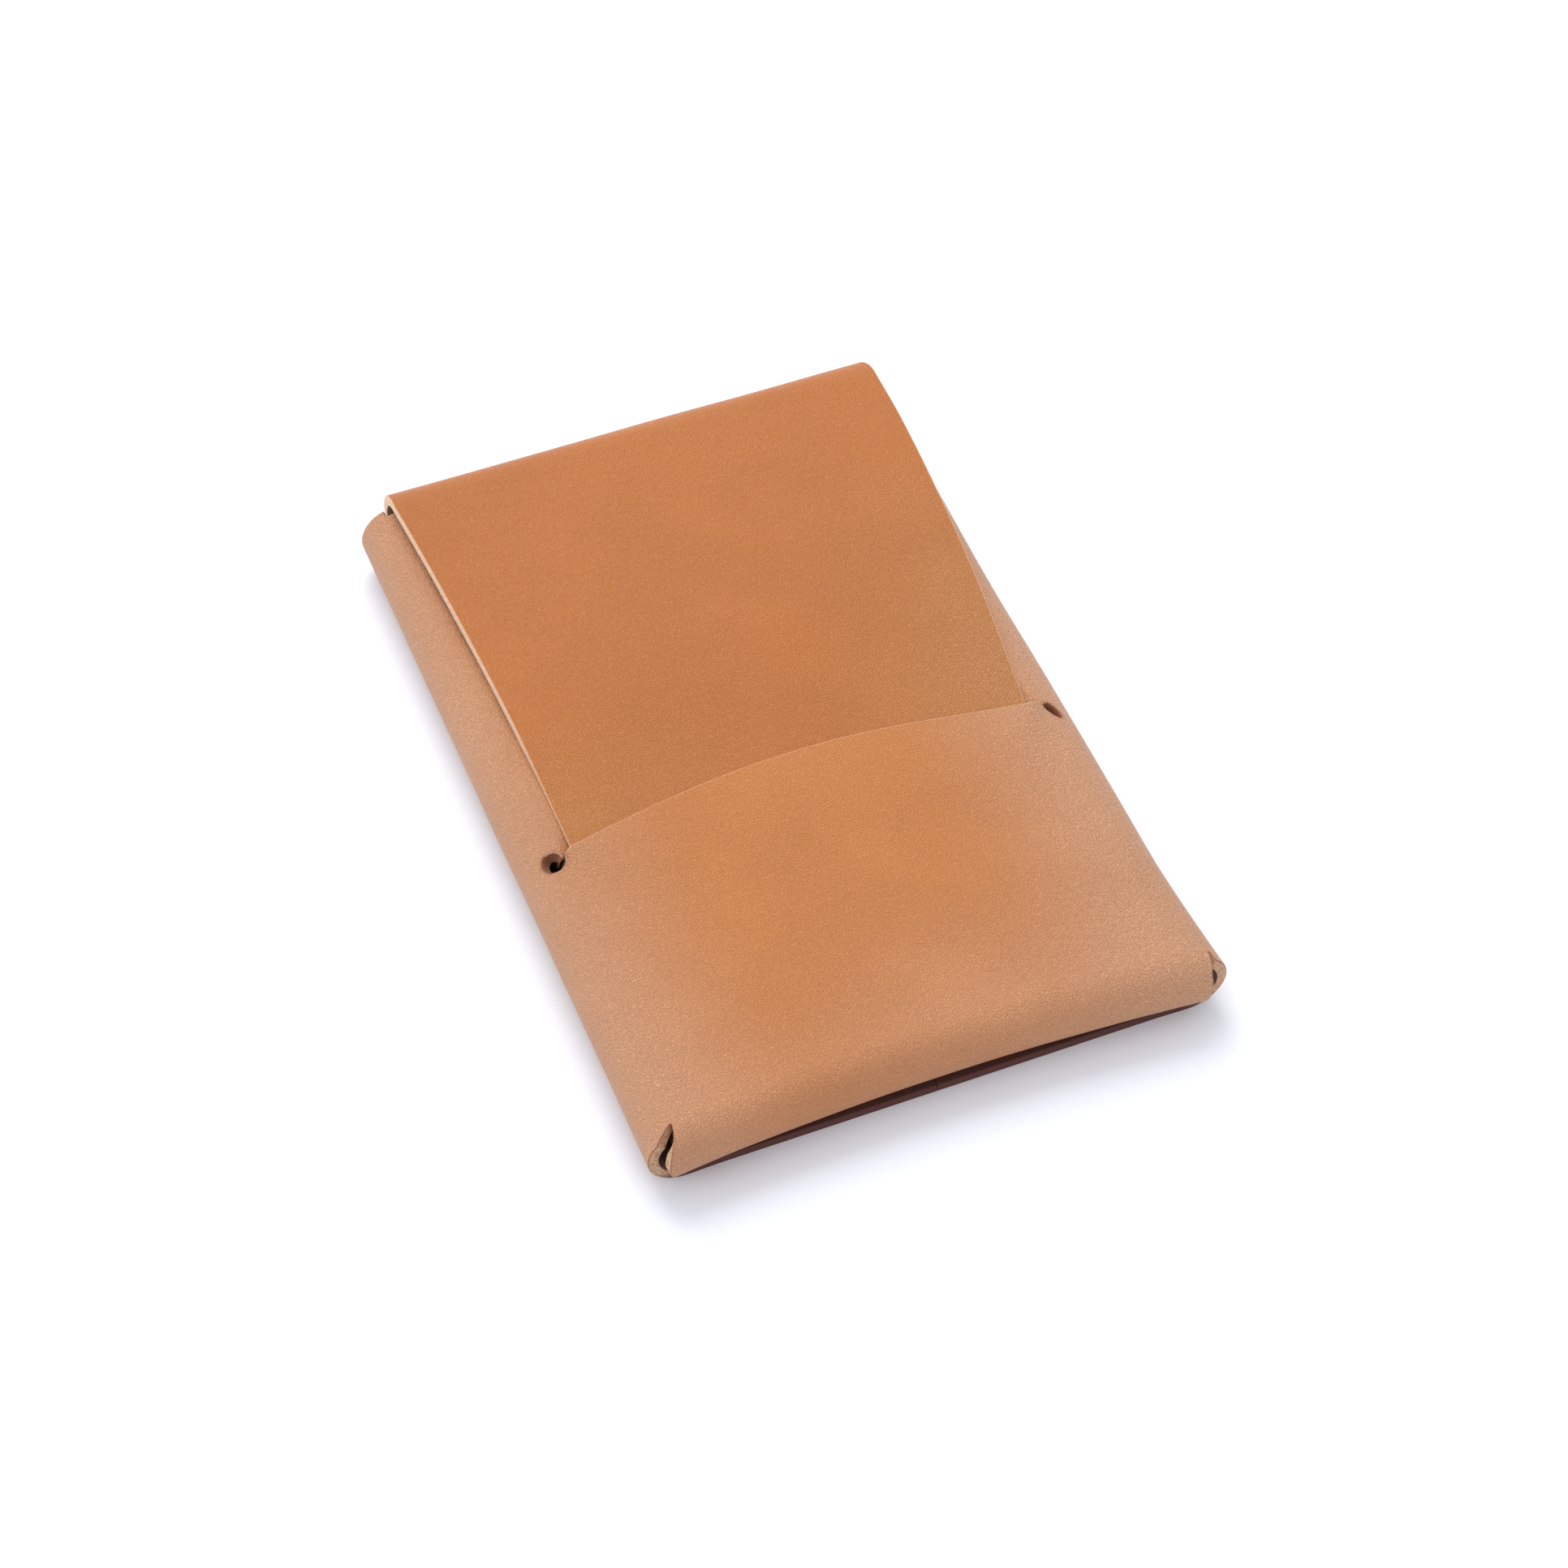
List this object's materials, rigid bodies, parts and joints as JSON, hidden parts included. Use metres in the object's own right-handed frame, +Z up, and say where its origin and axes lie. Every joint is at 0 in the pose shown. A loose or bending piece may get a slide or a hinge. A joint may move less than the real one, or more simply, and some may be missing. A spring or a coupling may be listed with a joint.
{
  "type": "card holder",
  "caption": "Slim card holder folded from one piece of leather, with a flap that comes over the top and tucks into an arched slit in the front.",
  "frame": {"origin": "on the surface that the case lies on, under the middle of its outline", "axes": "+X across the case, +Y along it towards the top bend, +Z up through the front and the flap"},
  "size_m": [0.07, 0.105, 0.0116],
  "materials": {
    "hide_front": "vegetable-tanned tan grain leather, satin",
    "hide_fold": "the same leather, a shade paler where it is stretched round a fold",
    "hide_back": "the same leather, grain side out, raw cut edges",
    "hide_flap": "the same leather, a shade deeper and glossier"
  },
  "bodies": {
    "case": {"front_pocket": "hide_front", "front_upper": "hide_front", "left_side_fold": "hide_fold", "left_back_wing": "hide_back", "right_side_fold": "hide_fold", "right_back_wing": "hide_back", "bottom_fold": "hide_fold", "back_panel": "hide_back", "top_bend_1": "hide_flap"},
    "bend_lower": {"top_bend_2": "hide_flap"},
    "bend_middle": {"top_bend_3": "hide_flap"},
    "bend_upper": {"top_bend_4": "hide_flap"},
    "flap": {"top_bend_5": "hide_flap", "flap_panel": "hide_flap", "flap_tongue": "hide_flap"}
  },
  "joints": [
    {"name": "bend_hinge_1", "type": "hinge", "parent": "case", "child": "bend_lower", "pos_m": [0, 0.04957, 0.00196], "axis": [-1, 0, 0], "range_deg": [0, 45]},
    {"name": "bend_hinge_2", "type": "hinge", "parent": "bend_lower", "child": "bend_middle", "pos_m": [0, 0.05214, 0.00453], "axis": [-1, 0, 0], "range_deg": [0, 45]},
    {"name": "bend_hinge_3", "type": "hinge", "parent": "bend_middle", "child": "bend_upper", "pos_m": [0, 0.05214, 0.00817], "axis": [-1, 0, 0], "range_deg": [0, 45]},
    {"name": "bend_hinge_4", "type": "hinge", "parent": "bend_upper", "child": "flap", "pos_m": [0, 0.04957, 0.01074], "axis": [-1, 0, 0], "range_deg": [0, 45], "deforming": ["flap_tongue"]}
  ],
  "couplings": [
    {"joint": "bend_hinge_2", "follows": "bend_hinge_1", "ratio": 1},
    {"joint": "bend_hinge_3", "follows": "bend_hinge_1", "ratio": 1},
    {"joint": "bend_hinge_4", "follows": "bend_hinge_1", "ratio": 1}
  ]
}
